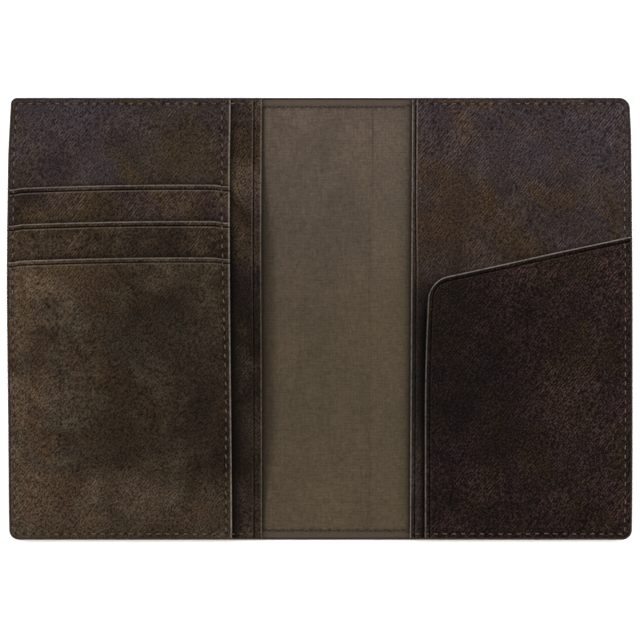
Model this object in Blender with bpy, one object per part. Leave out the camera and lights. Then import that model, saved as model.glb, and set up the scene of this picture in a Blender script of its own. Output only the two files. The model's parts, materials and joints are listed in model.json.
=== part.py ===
"""Passport holder wallet, lying open and flat on a table with its pockets facing up.

Metres, +Z up, +X to the right and +Y up the page. The origin is at the centre of the outline, on the table.
Every layer of leather, board and cloth is its own object. The spine's layers hang from the empty called spine.
The layers of each cover hang from an empty on its fold line, left_fold or right_fold. Turning left_fold by +90
degrees about Y and right_fold by -90 degrees closes the wallet.
"""

import math

import bmesh
import bpy
from mathutils import Vector

# Outline of the open wallet
OPEN_WIDTH = 0.199
HEIGHT = 0.141
CORNER_RADIUS = 0.0028
SPINE_WIDTH = 0.0075

# Layer thicknesses, and the gap that each layer keeps to the one below it
COVER_THICKNESS = 0.0008
BOARD_THICKNESS = 0.0004
LINING_THICKNESS = 0.0002
BACKING_THICKNESS = 0.00015
FLAP_THICKNESS = 0.0005
CARD_LEATHER_THICKNESS = 0.0004
LAYER_GAP = 0.00025

# Coat of paint that seals the cut edges, and the gap left open on each fold line
EDGE_PAINT_THICKNESS = 0.00035
FOLD_GAP = 0.0003

# Free edges of the pockets, measured from the middle of the wallet
LEFT_FLAP_EDGE_X = -0.0186
CARD_PANEL_EDGE_X = -0.0289
RIGHT_FLAP_EDGE_X = 0.0288
BOARD_EDGE_X = 0.0164
BACKING_SETBACK = 0.0024

# Card slots: a mouth every 11.6 mm, each bowed a little, with a short leather strip on a cloth tail
TOP_MOUTH_Y = 0.0430
MOUTH_PITCH = 0.0116
MOUTH_PEAK_X = -0.0420
MOUTH_BOW = 0.37
MOUTH_POINTS = 9
STRIP_DEPTH = 0.0200
TAIL_DEPTH = 0.0770
TAIL_SIDE_MARGIN = 0.0045

# Slanted pocket on the right cover
SLANT_FOOT_X = 0.0333
SLANT_KNEE_Y = -0.0250
SLANT_CORNER_X = 0.0345
SLANT_END_Y = 0.0267
SLANT_ANGLE = math.radians(12.0)
SLANT_CORNER_RADIUS = 0.0059

# Sewing thread
THREAD_RADIUS = 0.0002
THREAD_CLEARANCE = 0.00015
SEAM_MARGIN = 0.0019
LINING_SEAM_MARGIN = 0.0027
CARD_SEAM_X = -0.0315
THREAD_FOLD_SETBACK = 0.0010

ARC_STEPS = 6
THREAD_STEP = 0.0015
PAINT_STEP = 0.0005
SOFT_EDGE = 0.0001

HALF_WIDTH = OPEN_WIDTH / 2
HALF_HEIGHT = HEIGHT / 2
FOLD_X = SPINE_WIDTH / 2
INSET = EDGE_PAINT_THICKNESS + LAYER_GAP


def stack(start, thicknesses):
    """(bottom, top) of each layer, laid one on another from the height start with the layer gap between them."""
    levels = []
    for thickness in thicknesses:
        levels.append((start, start + thickness))
        start += thickness + LAYER_GAP
    return levels


COVER_LEVEL, BOARD_LEVEL, LINING_LEVEL, BACKING_LEVEL, FLAP_LEVEL = stack(
    0.0, [COVER_THICKNESS, BOARD_THICKNESS, LINING_THICKNESS, BACKING_THICKNESS, FLAP_THICKNESS]
)
CARD_BACK_LEVEL, *SLOT_LEVELS = stack(FLAP_LEVEL[1] + LAYER_GAP, [CARD_LEATHER_THICKNESS] * 4)
SLANT_LEVEL = stack(FLAP_LEVEL[1] + LAYER_GAP, [FLAP_THICKNESS])[0]
FOLD_Z = LINING_LEVEL[1]
SLOT_MOUTHS = [TOP_MOUTH_Y - MOUTH_PITCH * i for i in range(3)]


def clear_scene():
    for obj in list(bpy.data.objects):
        bpy.data.objects.remove(obj)


def material(name, color, roughness):
    """A plain non-metal finish."""
    made = bpy.data.materials.new(name)
    made.use_nodes = True
    shader = made.node_tree.nodes["Principled BSDF"]
    shader.inputs["Base Color"].default_value = (*color, 1.0)
    shader.inputs["Roughness"].default_value = roughness
    shader.inputs["Metallic"].default_value = 0.0
    return made


class Body:
    """A rigid group of pieces that hangs from an empty. A cover's empty is on its fold line."""

    def __init__(self, name, pivot, parent=None):
        self.pivot = Vector(pivot)
        self.empty = bpy.data.objects.new(name, None)
        bpy.context.scene.collection.objects.link(self.empty)
        if parent:
            self.empty.parent = parent.empty
        self.empty.location = self.pivot - (parent.pivot if parent else Vector())

    def add(self, name, data, location, finish):
        """An object whose origin is at a world location."""
        data.materials.append(finish)
        obj = bpy.data.objects.new(name, data)
        bpy.context.scene.collection.objects.link(obj)
        obj.parent = self.empty
        obj.location = Vector(location) - self.pivot
        return obj


# --- Outlines -------------------------------------------------------------------------------------------------


def rounded(corners):
    """A line through (x, y, radius) corners, with an arc at each corner that has a radius. It isn't closed."""
    points = []
    for i, (x, y, radius) in enumerate(corners):
        here = Vector((x, y))
        if not radius:
            points.append(here)
            continue
        before = (Vector(corners[i - 1][:2]) - here).normalized()
        after = (Vector(corners[(i + 1) % len(corners)][:2]) - here).normalized()
        half = before.angle(after) / 2
        centre = here + (before + after).normalized() * radius / math.sin(half)
        start = here + before * radius / math.tan(half) - centre
        end = here + after * radius / math.tan(half) - centre
        sweep = start.angle_signed(end)
        for step in range(ARC_STEPS + 1):
            turn = -sweep * step / ARC_STEPS
            c, s = math.cos(turn), math.sin(turn)
            points.append(centre + Vector((start.x * c - start.y * s, start.x * s + start.y * c)))
    return points


def mouth_y(x, middle_y):
    """Height up the page of a card slot's mouth, which bows upwards."""
    return middle_y - MOUTH_BOW * (x - MOUTH_PEAK_X) ** 2


def mouth_line(x_from, x_to, middle_y):
    xs = [x_from + (x_to - x_from) * i / (MOUTH_POINTS - 1) for i in range(MOUTH_POINTS)]
    return [Vector((x, mouth_y(x, middle_y))) for x in xs]


def cover_outline(side, inner_x, inset=INSET):
    """A panel of the left (-1) or right (+1) cover, from inner_x to the edge, with the two outer corners round."""
    x = side * (HALF_WIDTH - inset)
    y = HALF_HEIGHT - inset
    radius = CORNER_RADIUS - inset
    return rounded([(inner_x, side * -y, 0), (x, side * -y, radius), (x, side * y, radius), (inner_x, side * y, 0)])


def strip_outline(middle_y):
    """The short leather strip of an upper card slot, with its bowed mouth on top."""
    left = INSET - HALF_WIDTH
    foot = middle_y - STRIP_DEPTH
    return [Vector((left, foot)), Vector((CARD_PANEL_EDGE_X, foot))] + mouth_line(CARD_PANEL_EDGE_X, left, middle_y)


def tail_outline(middle_y):
    """The cloth tail below a strip, which stops a card at its foot."""
    left = TAIL_SIDE_MARGIN - HALF_WIDTH
    right = CARD_PANEL_EDGE_X - TAIL_SIDE_MARGIN
    top = middle_y - STRIP_DEPTH - LAYER_GAP
    foot = middle_y - TAIL_DEPTH
    return [Vector((left, foot)), Vector((right, foot)), Vector((right, top)), Vector((left, top))]


def front_slot_outline(middle_y):
    """The lowest card slot: one leather panel from its bowed mouth down to the bottom seam."""
    left = INSET - HALF_WIDTH
    foot = INSET - HALF_HEIGHT
    radius = CORNER_RADIUS - INSET
    bottom = rounded([(left, mouth_y(left, middle_y), 0), (left, foot, radius), (CARD_PANEL_EDGE_X, foot, 0)])[1:]
    return bottom + mouth_line(CARD_PANEL_EDGE_X, left, middle_y)


def slant_y(x):
    """Height up the page of the slanted mouth."""
    return SLANT_END_Y - (HALF_WIDTH - x) * math.tan(SLANT_ANGLE)


def slant_pocket_outline():
    right = HALF_WIDTH - INSET
    foot = INSET - HALF_HEIGHT
    return rounded([
        (SLANT_FOOT_X, foot, 0),
        (right, foot, CORNER_RADIUS - INSET),
        (right, slant_y(right), 0),
        (SLANT_CORNER_X, slant_y(SLANT_CORNER_X), SLANT_CORNER_RADIUS),
        (SLANT_FOOT_X, SLANT_KNEE_Y, 0),
    ])


# --- Heights of the topmost layer, which the thread and the edge paint follow -----------------------------------


def left_top(x, y):
    if x > LEFT_FLAP_EDGE_X:
        return LINING_LEVEL[1]
    if x > CARD_PANEL_EDGE_X:
        return FLAP_LEVEL[1]
    covering = [level[1] for middle_y, level in zip(SLOT_MOUTHS, SLOT_LEVELS) if y < mouth_y(x, middle_y)]
    return max(covering, default=CARD_BACK_LEVEL[1])


def right_top(x, y):
    if x < RIGHT_FLAP_EDGE_X:
        return LINING_LEVEL[1]
    if x < SLANT_FOOT_X or y > slant_y(x):
        return FLAP_LEVEL[1]
    return SLANT_LEVEL[1]


def spine_top(x, y):
    return LINING_LEVEL[1]


# --- Solids -----------------------------------------------------------------------------------------------------


def sheet(body, name, outline, level, finish):
    """A flat layer cut to an outline, with its arrises softened."""
    bottom, top = level
    bm = bmesh.new()
    foot = bm.faces.new([bm.verts.new((p.x, p.y, 0.0)) for p in outline])
    raised = bmesh.ops.extrude_face_region(bm, geom=[foot])["geom"]
    lifted = [part for part in raised if isinstance(part, bmesh.types.BMVert)]
    bmesh.ops.translate(bm, verts=lifted, vec=(0, 0, top - bottom))
    bmesh.ops.recalc_face_normals(bm, faces=bm.faces)
    mesh = bpy.data.meshes.new(name)
    bm.to_mesh(mesh)
    bm.free()
    obj = body.add(name, mesh, (0, 0, bottom), finish)
    if top - bottom > 3 * SOFT_EDGE:
        bevel = obj.modifiers.new("soft_arris", "BEVEL")
        bevel.width = SOFT_EDGE
        bevel.segments = 1
        bevel.limit_method = "ANGLE"
        bevel.angle_limit = math.radians(60)
    return obj


def sampled(line, step):
    """The line with points no further apart than step."""
    points = [line[0]]
    for a, b in zip(line, line[1:]):
        count = max(1, math.ceil((b - a).length / step))
        points += [a.lerp(b, i / count) for i in range(1, count + 1)]
    return points


def without_straight_points(points):
    """The points at which a line turns, and its two ends."""
    kept = [points[0]]
    for here, after in zip(points[1:], points[2:]):
        if (here - kept[-1]).angle(after - here, 0.0) > math.radians(0.5):
            kept.append(here)
    return kept + [points[-1]]


def edge_paint(body, name, line, top_at, finish):
    """The painted edge: a thin wall along the outline from the table to the topmost layer.

    The line runs anticlockwise round the wallet, so that the inside is on its left."""
    dense = sampled(line, PAINT_STEP)
    tops = [top_at(p.x, p.y) for p in dense]
    stations = without_straight_points([Vector((p.x, p.y, top)) for p, top in zip(dense, tops)])
    bm = bmesh.new()
    rings = []
    for i, here in enumerate(stations):
        before = (here - stations[max(i - 1, 0)]).xy
        after = (stations[min(i + 1, len(stations) - 1)] - here).xy
        along = (before.normalized() + after.normalized()).normalized()
        stretch = 1 / max(0.5, along.dot((after if after.length else before).normalized()))
        inner = here.xy + Vector((-along.y, along.x)) * EDGE_PAINT_THICKNESS * stretch
        corners = [(here.x, here.y, 0), (here.x, here.y, here.z), (inner.x, inner.y, here.z), (inner.x, inner.y, 0)]
        rings.append([bm.verts.new(corner) for corner in corners])
    for ring, following in zip(rings, rings[1:]):
        for k in range(4):
            bm.faces.new([ring[k], ring[(k + 1) % 4], following[(k + 1) % 4], following[k]])
    bm.faces.new(rings[0])
    bm.faces.new(rings[-1])
    bmesh.ops.recalc_face_normals(bm, faces=bm.faces)
    mesh = bpy.data.meshes.new(name)
    bm.to_mesh(mesh)
    bm.free()
    return body.add(name, mesh, (0, 0, 0), finish)


def thread(body, name, line, top_at, finish):
    """A row of sewing: thread that lies along a line, just clear of the topmost layer, and climbs each step in it."""
    dense = sampled(line, THREAD_STEP)
    tops = [top_at(p.x, p.y) for p in dense]
    lifted = [max(tops[max(i - 1, 0):i + 2]) for i in range(len(tops))]
    height = THREAD_CLEARANCE + THREAD_RADIUS
    points = without_straight_points([Vector((p.x, p.y, top + height)) for p, top in zip(dense, lifted)])
    curve = bpy.data.curves.new(name, "CURVE")
    curve.dimensions = "3D"
    curve.bevel_depth = THREAD_RADIUS
    curve.bevel_resolution = 1
    curve.use_fill_caps = True
    spline = curve.splines.new("POLY")
    spline.points.add(len(points) - 1)
    start = points[0]
    for target, point in zip(spline.points, points):
        target.co = (*(point - start), 1.0)
    return body.add(name, curve, start, finish)


# --- Lines round the edge of each cover ---------------------------------------------------------------------------


def cover_edge_line(side, inset, fold_gap):
    """Round three sides of a cover from fold line to fold line, anticlockwise, at a distance inside the outline."""
    inner_x = side * (FOLD_X + fold_gap)
    x = side * (HALF_WIDTH - inset)
    y = HALF_HEIGHT - inset
    radius = max(CORNER_RADIUS - inset, 0.0008)
    return rounded([(inner_x, side * -y, 0), (x, side * -y, radius), (x, side * y, radius), (inner_x, side * y, 0)])


def cover_seam_line(side, flap_edge_x):
    """The perimeter seam of a cover. It lies further in where it holds only the lining."""
    line = cover_edge_line(side, SEAM_MARGIN, THREAD_FOLD_SETBACK)
    shifted_y = HALF_HEIGHT - LINING_SEAM_MARGIN
    bend_x = flap_edge_x - side * 2 * THREAD_STEP
    first = [Vector((line[0].x, side * -shifted_y)), Vector((bend_x, side * -shifted_y))]
    last = [Vector((bend_x, side * shifted_y)), Vector((line[-1].x, side * shifted_y))]
    return first + [Vector((flap_edge_x, line[0].y))] + line[1:-1] + [Vector((flap_edge_x, line[-1].y))] + last


def build_right_cover(body, leather, board, cloth, paint, cotton):
    inner_x = FOLD_X + FOLD_GAP / 2
    sheet(body, "outer_cover_right", cover_outline(1, inner_x), COVER_LEVEL, leather)
    sheet(body, "stiffener_board_right", cover_outline(1, BOARD_EDGE_X, INSET + SEAM_MARGIN), BOARD_LEVEL, board)
    sheet(body, "lining_right", cover_outline(1, inner_x), LINING_LEVEL, cloth)
    backing = cover_outline(1, RIGHT_FLAP_EDGE_X + BACKING_SETBACK)
    sheet(body, "passport_flap_backing_right", backing, BACKING_LEVEL, cloth)
    sheet(body, "passport_flap_right", cover_outline(1, RIGHT_FLAP_EDGE_X), FLAP_LEVEL, leather)
    sheet(body, "slanted_pocket", slant_pocket_outline(), SLANT_LEVEL, leather)
    edge_paint(body, "edge_paint_right", cover_edge_line(1, 0, FOLD_GAP / 2), right_top, paint)
    thread(body, "seam_thread_right", cover_seam_line(1, RIGHT_FLAP_EDGE_X), right_top, cotton)


def build_spine(body, leather, cloth, paint, cotton):
    x = FOLD_X - FOLD_GAP / 2
    y = HALF_HEIGHT - INSET
    outline = [Vector((-x, -y)), Vector((x, -y)), Vector((x, y)), Vector((-x, y))]
    sheet(body, "outer_cover_spine", outline, COVER_LEVEL, leather)
    sheet(body, "lining_spine", outline, LINING_LEVEL, cloth)
    seam_x = FOLD_X - THREAD_FOLD_SETBACK
    seam_y = HALF_HEIGHT - LINING_SEAM_MARGIN
    for end, side in (("top", 1), ("bottom", -1)):
        edge = [Vector((side * x, side * HALF_HEIGHT)), Vector((-side * x, side * HALF_HEIGHT))]
        edge_paint(body, f"edge_paint_spine_{end}", edge, spine_top, paint)
        seam = [Vector((-seam_x, side * seam_y)), Vector((seam_x, side * seam_y))]
        thread(body, f"seam_thread_spine_{end}", seam, spine_top, cotton)


def build_left_cover(body, leather, board, cloth, paint, cotton):
    inner_x = -FOLD_X - FOLD_GAP / 2
    sheet(body, "outer_cover_left", cover_outline(-1, inner_x), COVER_LEVEL, leather)
    sheet(body, "stiffener_board_left", cover_outline(-1, -BOARD_EDGE_X, INSET + SEAM_MARGIN), BOARD_LEVEL, board)
    sheet(body, "lining_left", cover_outline(-1, inner_x), LINING_LEVEL, cloth)
    backing = cover_outline(-1, LEFT_FLAP_EDGE_X - BACKING_SETBACK)
    sheet(body, "passport_flap_backing_left", backing, BACKING_LEVEL, cloth)
    sheet(body, "passport_flap_left", cover_outline(-1, LEFT_FLAP_EDGE_X), FLAP_LEVEL, leather)
    sheet(body, "card_panel_back", cover_outline(-1, CARD_PANEL_EDGE_X), CARD_BACK_LEVEL, leather)
    for name, middle_y, level in zip(("top", "middle"), SLOT_MOUTHS, SLOT_LEVELS):
        sheet(body, f"card_slot_{name}", strip_outline(middle_y), level, leather)
        tail_level = (level[0], level[0] + BACKING_THICKNESS)
        sheet(body, f"card_slot_{name}_tail", tail_outline(middle_y), tail_level, cloth)
    sheet(body, "card_slot_front", front_slot_outline(SLOT_MOUTHS[2]), SLOT_LEVELS[2], leather)
    edge_paint(body, "edge_paint_left", cover_edge_line(-1, 0, FOLD_GAP / 2), left_top, paint)
    thread(body, "seam_thread_left", cover_seam_line(-1, LEFT_FLAP_EDGE_X), left_top, cotton)
    seam_y = HALF_HEIGHT - 2 * SEAM_MARGIN
    card_seam = [Vector((CARD_SEAM_X, seam_y)), Vector((CARD_SEAM_X, -seam_y))]
    thread(body, "seam_thread_card_panel", card_seam, left_top, cotton)


def build():
    clear_scene()
    leather = material("brown_leather", (0.045, 0.030, 0.022), 0.55)
    board = material("grey_board", (0.30, 0.28, 0.25), 0.9)
    cloth = material("taupe_cloth", (0.085, 0.066, 0.047), 0.9)
    paint = material("edge_paint", (0.030, 0.024, 0.020), 0.5)
    cotton = material("brown_thread", (0.070, 0.052, 0.042), 0.8)
    spine = Body("spine", (0, 0, 0))
    left = Body("left_fold", (-FOLD_X, 0, FOLD_Z), spine)
    right = Body("right_fold", (FOLD_X, 0, FOLD_Z), spine)
    build_right_cover(right, leather, board, cloth, paint, cotton)
    build_spine(spine, leather, cloth, paint, cotton)
    build_left_cover(left, leather, board, cloth, paint, cotton)


build()
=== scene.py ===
"""Looks of a passport holder wallet that lies open with its pockets facing up.

Every leather and cloth layer is a closed thin sheet on a grid, whose height follows the layers below it.
Lengths in the constants are in millimetres, and MM turns them into the frame's metres.
"""

import json
import math

import bpy
import numpy as np
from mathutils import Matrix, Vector
from mathutils.bvhtree import BVHTree


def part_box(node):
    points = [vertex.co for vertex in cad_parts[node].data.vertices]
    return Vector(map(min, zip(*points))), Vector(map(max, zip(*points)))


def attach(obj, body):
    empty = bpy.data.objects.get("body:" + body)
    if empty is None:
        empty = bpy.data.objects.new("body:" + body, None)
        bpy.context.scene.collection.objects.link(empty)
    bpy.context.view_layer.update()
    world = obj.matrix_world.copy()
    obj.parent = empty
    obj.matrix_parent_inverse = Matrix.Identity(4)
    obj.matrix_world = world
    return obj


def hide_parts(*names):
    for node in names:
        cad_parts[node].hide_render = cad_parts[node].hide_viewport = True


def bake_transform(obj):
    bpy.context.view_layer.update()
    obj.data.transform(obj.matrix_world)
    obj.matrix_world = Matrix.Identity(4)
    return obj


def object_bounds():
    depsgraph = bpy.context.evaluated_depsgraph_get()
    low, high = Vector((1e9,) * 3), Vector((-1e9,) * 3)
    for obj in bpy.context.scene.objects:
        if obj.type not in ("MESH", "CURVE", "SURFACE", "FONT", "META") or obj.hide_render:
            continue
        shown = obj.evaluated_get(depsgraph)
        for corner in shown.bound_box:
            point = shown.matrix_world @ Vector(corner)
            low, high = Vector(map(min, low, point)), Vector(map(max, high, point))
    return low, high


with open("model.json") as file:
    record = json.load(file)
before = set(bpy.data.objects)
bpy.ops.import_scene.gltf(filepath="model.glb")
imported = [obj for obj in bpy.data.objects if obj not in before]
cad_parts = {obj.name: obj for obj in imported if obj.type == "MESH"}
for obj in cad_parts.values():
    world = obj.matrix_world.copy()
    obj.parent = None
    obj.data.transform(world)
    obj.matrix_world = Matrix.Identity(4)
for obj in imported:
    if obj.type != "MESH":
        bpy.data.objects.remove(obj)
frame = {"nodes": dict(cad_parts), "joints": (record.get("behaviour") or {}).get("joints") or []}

MM = 0.001
CAD_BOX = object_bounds()

# Places that the CAD model sets, in millimetres
HALF_WIDTH = CAD_BOX[1].x / MM
HALF_HEIGHT = CAD_BOX[1].y / MM
FOLD_X = next(j for j in frame["joints"] if j["name"] == "right_fold")["pos_m"][0] / MM
LEFT_FLAP_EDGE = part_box("passport_flap_left")[1].x / MM
RIGHT_FLAP_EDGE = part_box("passport_flap_right")[0].x / MM
CARD_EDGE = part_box("card_panel_back")[1].x / MM
CARD_SEAM_X = (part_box("seam_thread_card_panel")[0].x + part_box("seam_thread_card_panel")[1].x) / 2 / MM
BOARD_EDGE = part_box("stiffener_board_right")[0].x / MM
MOUTHS = [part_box(f"card_slot_{name}")[1].y / MM for name in ("top", "middle", "front")]
STRIP_FEET = [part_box(f"card_slot_{name}")[0].y / MM for name in ("top", "middle")]
TAILS = [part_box(f"card_slot_{name}_tail") for name in ("top", "middle")]
SLANT_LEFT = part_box("slanted_pocket")[0].x / MM
SLANT_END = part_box("slanted_pocket")[1].y / MM

# Layer thicknesses
COVER = 0.8
LINING = 0.2
BACKING = 0.15
FLAP = 0.5
CARD = 0.4

# How far a panel stays inside the painted edge, and the corner radii, anticlockwise from bottom left
PANEL_INSET = 0.45
CORNERS_LEFT = (3.0, 0.0, 0.0, 1.9)
CORNERS_RIGHT = (0.0, 3.0, 3.2, 0.0)

# Seams
SEAM = 1.85
RIGHT_SEAM = 2.3
LINING_SEAM = 2.8
STITCH_PITCH = 2.95
STITCH_LENGTH = 1.75
STITCH_RADIUS = 0.165
OUTSIDE_STITCH_RADIUS = 0.9 * STITCH_RADIUS
OUTSIDE_STITCH_Z = 0.29

# Card slot mouths and the slanted mouth
MOUTH_PEAK_X = -42.0
MOUTH_BOW = 0.00037
SLANT = math.tan(math.radians(12.0))
SLANT_CORNER = 5.9

# How far from each turned edge its groove lies
CARD_GROOVE = 1.45
SLANT_GROOVE = 1.5
LEFT_FLAP_GROOVE = 2.5
RIGHT_FLAP_GROOVE = 1.5

# The edge of the right stiffener board shows through the lining as a faint upright crease
LINING_CREASE = 16.7

# Grid steps of panels where they show, where little happens and out of sight, and hidden cloth's thickness
FINE = 0.74
COARSE = 2.6
HIDDEN = 3.0
HIDDEN_CLOTH = 0.13

SIDE_NAMES = {-1: "left", 1: "right"}

# The camera looks straight down on this place, from VIEW_DISTANCE metres
VIEW_CENTRE = (-0.1, -0.2)
VIEW_WIDTH = 204.2
VIEW_DISTANCE = 3.0


# --- Small maths --------------------------------------------------------------


def smooth(value, low, high):
    """0 at low, 1 at high and a smooth step in between."""
    t = np.clip((value - low) / (high - low), 0.0, 1.0)
    return t * t * (3 - 2 * t)


def wobble(x, y, size, seed):
    """A gentle uneven surface from about -1 to 1, with bumps of about that size in millimetres."""
    rng = np.random.default_rng(seed)
    total = 0.0
    for _ in range(7):
        angle = rng.uniform(0, math.pi)
        wave = 2 * math.pi / (size * rng.uniform(1.2, 3.2))
        along = x * math.cos(angle) + y * math.sin(angle)
        total = total + np.sin(wave * along + rng.uniform(0, 2 * math.pi))
    return total / 3.5


def spaced(low, high, step):
    return np.linspace(low, high, max(2, round(abs(high - low) / step) + 1))


def grid_lines(*parts):
    """Sorted grid lines from several lists, without any that nearly coincide."""
    kept = []
    for value in np.sort(np.concatenate(parts)):
        if not kept or value - kept[-1] > 0.035:
            kept.append(value)
    return np.array(kept)


# Distances from a sewn edge and from a free edge at which a panel needs grid lines
HEM = np.array([0, 0.03, 0.09, 0.18, 0.3, 0.5, 0.8, 1.2, 1.5, 1.7, 1.9, 2.1, 2.3, 2.6, 3.1, 3.9, 5.0])
FREE = np.array([0, 0.02, 0.07, 0.14, 0.24, 0.36, 0.5, 0.65, 0.85, 1.15, 1.5, 1.9, 2.1, 2.3, 2.6, 2.9, 3.4,
                 4.2])


def lip_lines(groove):
    """Distances from a turned edge at which its lip needs grid lines."""
    edge = np.array([0, 0.02, 0.06, 0.12, 0.2, 0.3, 0.4, 0.5, 0.62, 0.8])
    around = np.array([-0.5, -0.34, -0.22, -0.13, -0.05, 0.03, 0.11, 0.2, 0.3, 0.4, 0.5, 0.62, 0.8, 1.2, 1.8])
    return np.concatenate([edge, groove + around])


# --- Shape of the wallet ------------------------------------------------------


def natural(x, y):
    """Where a point of the true rectangle lies on the real wallet, whose outer edges bow a little."""
    left = -0.55 * np.exp(-(((y - 12) / 38) ** 2)) + 0.30 * (y / HALF_HEIGHT) ** 6 + 0.55 * smooth(y, 50, 72)
    right = 0.18 - 0.36 * smooth(y, 0, 62) - 0.30 * (y / HALF_HEIGHT) ** 6 - 0.35 * smooth(y, 56, 72)
    reach = np.clip(np.abs(x) / HALF_WIDTH, 0, 1) ** 3
    return x + reach * np.where(x < 0, left, right), y + 0.19 * np.abs(y / HALF_HEIGHT) ** 3


def card_edge(y):
    """Where the card panel's right edge is. It strays towards the fold at both ends."""
    return CARD_EDGE + 0.74 * smooth(-y, -35, 75) + 0.27 * smooth(y, 45, 70)


def card_seam(y):
    """Where the card panel's own upright seam is."""
    return CARD_SEAM_X + 0.1 + 1.3 * smooth(-y, -35, 32)


def left_flap_edge(y):
    return LEFT_FLAP_EDGE - 0.24 * np.exp(-(((y - 25) / 30) ** 2))


def right_flap_edge(y):
    return RIGHT_FLAP_EDGE + 0.12 + 0.0055 * y


def slant_left(y):
    """Where the slanted pocket's left edge is. It leans towards its mouth."""
    return SLANT_LEFT + 0.05 + 0.00068 * np.maximum(y + 32, 0) ** 2


def edge_distance(x, y):
    return np.minimum(HALF_WIDTH - np.abs(x), HALF_HEIGHT - np.abs(y))


def seam_margin(x):
    """How far the seam is from the top or bottom edge: further where it holds only the lining."""
    past_left = smooth(x, LEFT_FLAP_EDGE - 0.8, LEFT_FLAP_EDGE + 0.8)
    before_right = smooth(-x, -RIGHT_FLAP_EDGE - 0.8, -RIGHT_FLAP_EDGE + 0.8)
    return SEAM + (LINING_SEAM - SEAM) * past_left * before_right


def seam_layout(side):
    """The seam's corner on one cover, and the stitch pitches across and up that fit it exactly."""
    edge_x = HALF_WIDTH - (SEAM if side < 0 else RIGHT_SEAM)
    edge_y = HALF_HEIGHT - SEAM
    pitch_x = edge_x / round(edge_x / STITCH_PITCH)
    pitch_y = 2 * edge_y / round(2 * edge_y / STITCH_PITCH)
    return edge_x, edge_y, pitch_x, pitch_y


def seam_pull(x, y, width=0.42, holes=True):
    """0 to 1, how strongly the perimeter seam draws the layers in, with a deeper spot at each needle hole."""
    pull = np.zeros_like(x)
    for side in (-1, 1):
        edge_x, edge_y, pitch_x, pitch_y = seam_layout(side)
        across_y = HALF_HEIGHT - np.abs(y) - seam_margin(x)
        across_x = edge_x - side * x
        rows = np.exp(-((across_y / width) ** 2)) * smooth(across_x, -0.8, 0.2)
        columns = np.exp(-((across_x / width) ** 2)) * smooth(across_y, -0.8, 0.2)
        if holes:
            rows = rows * (0.5 + 0.5 * np.cos(2 * math.pi * x / pitch_x))
            columns = columns * (0.5 + 0.5 * np.cos(2 * math.pi * (y + edge_y) / pitch_y))
        pull = np.where(side * x >= 0, np.maximum(rows, columns), pull)
    return pull


def lining_top(x, y):
    edge = edge_distance(x, y)
    on_board = smooth(np.abs(x), BOARD_EDGE - 1.1, BOARD_EDGE + 0.5) * smooth(edge, -1.0, 4.0)
    under = 0.28 + 0.14 * smooth(edge, 0, 5) + 0.48 * on_board
    return COVER + under + LINING - 0.08 * seam_pull(x, y, holes=False) - 0.06 * seam_pull(x, y)


def flap_bottom(x, y):
    edge = edge_distance(x, y)
    free = np.where(x < 0, LEFT_FLAP_EDGE - x, x - RIGHT_FLAP_EDGE)
    height = np.clip(1 - (y / HALF_HEIGHT) ** 2, 0, 1)
    lift = np.where(x < 0, 0.45, 0.30) * np.exp(-free / 9.0) * height
    middle = np.where(x < 0, LEFT_FLAP_EDGE - HALF_WIDTH, RIGHT_FLAP_EDGE + HALF_WIDTH) / 2
    width = np.where(x < 0, LEFT_FLAP_EDGE + HALF_WIDTH, HALF_WIDTH - RIGHT_FLAP_EDGE) / 2
    dome = 0.55 * np.clip(1 - ((x - middle) / width) ** 2, 0, 1) * height
    return lining_top(x, y) + 0.22 + 0.25 * smooth(edge, 0.5, 14) + dome + lift * smooth(edge, 2, 12)


def flap_top(x, y):
    return flap_bottom(x, y) + FLAP


def card_puff(x, y):
    """0 at the card panel's sewn edges and 1 in its middle."""
    return smooth(np.minimum(edge_distance(x, y), CARD_EDGE - x), 1.0, 13.0)


def card_back_top(x, y):
    return flap_top(x, y) + 0.05 + 0.16 * card_puff(x, y) + CARD


def card_level(x, y, level):
    """Underside of the card slot layer 1, 2 or 3, which lies on those below it."""
    gap = 0.05 + 0.20 * card_puff(x, y)
    inside = smooth(np.minimum(edge_distance(x, y), CARD_EDGE - x), 2.5, 6.0)
    bottom = card_back_top(x, y) + gap
    for foot, tail in list(zip(STRIP_FEET, TAILS))[:level - 1]:
        strip = smooth(y, foot - 12, foot)
        cloth = inside * smooth(y, tail[0].y / MM - 4, tail[0].y / MM) * (1 - strip)
        bottom = bottom + strip * (CARD + gap) + cloth * (BACKING + gap)
    return bottom


def slant_bottom(x, y):
    edge = edge_distance(x, y)
    return flap_top(x, y) + 0.08 + 0.55 * smooth(edge, 1.0, 14)


def mouth_drop(x):
    """How far a card slot's mouth lies below its highest point."""
    ends = 0.45 * smooth(x, CARD_SEAM_X - 2.8, CARD_SEAM_X + 1.2) + 0.35 * smooth(-x, 94.5, 98.0)
    return MOUTH_BOW * (x - MOUTH_PEAK_X) ** 2 + ends


def bell(distance, centre, width):
    return np.exp(-(((distance - centre) / width) ** 2))


def lip(distance, groove, shine=(1.0, 0.4)):
    """Height, abrasion and highlight, and crease of a turned edge: a raised lip, a pressed groove and a faint
    ridge behind it.
    The lip's edge and the ridge are painted lighter, partly as real abrasion and partly as painted highlight,
    and the groove gets painted shade.

    shine is how strongly the edge and the ridge are painted lighter."""
    crest = 0.16 * (1 - smooth(distance, 0.30, groove - 0.35))
    ridge = groove + 0.48
    height = crest - 0.30 * bell(distance, groove, 0.16) + 0.07 * bell(distance, ridge, 0.16)
    wear_and_highlight = shine[0] * np.exp(-(np.abs(distance - 0.18) / 0.25) ** 4) + shine[1] * bell(distance, ridge, 0.15)
    crease = bell(distance, groove, 0.21)
    return height, wear_and_highlight, crease


# --- Mesh building ------------------------------------------------------------


SHARP_ANGLE = math.radians(40)


def link(name, mesh, finish):
    made = bpy.data.objects.new(name, mesh)
    bpy.context.scene.collection.objects.link(made)
    mesh.materials.append(finish)
    return made


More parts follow.
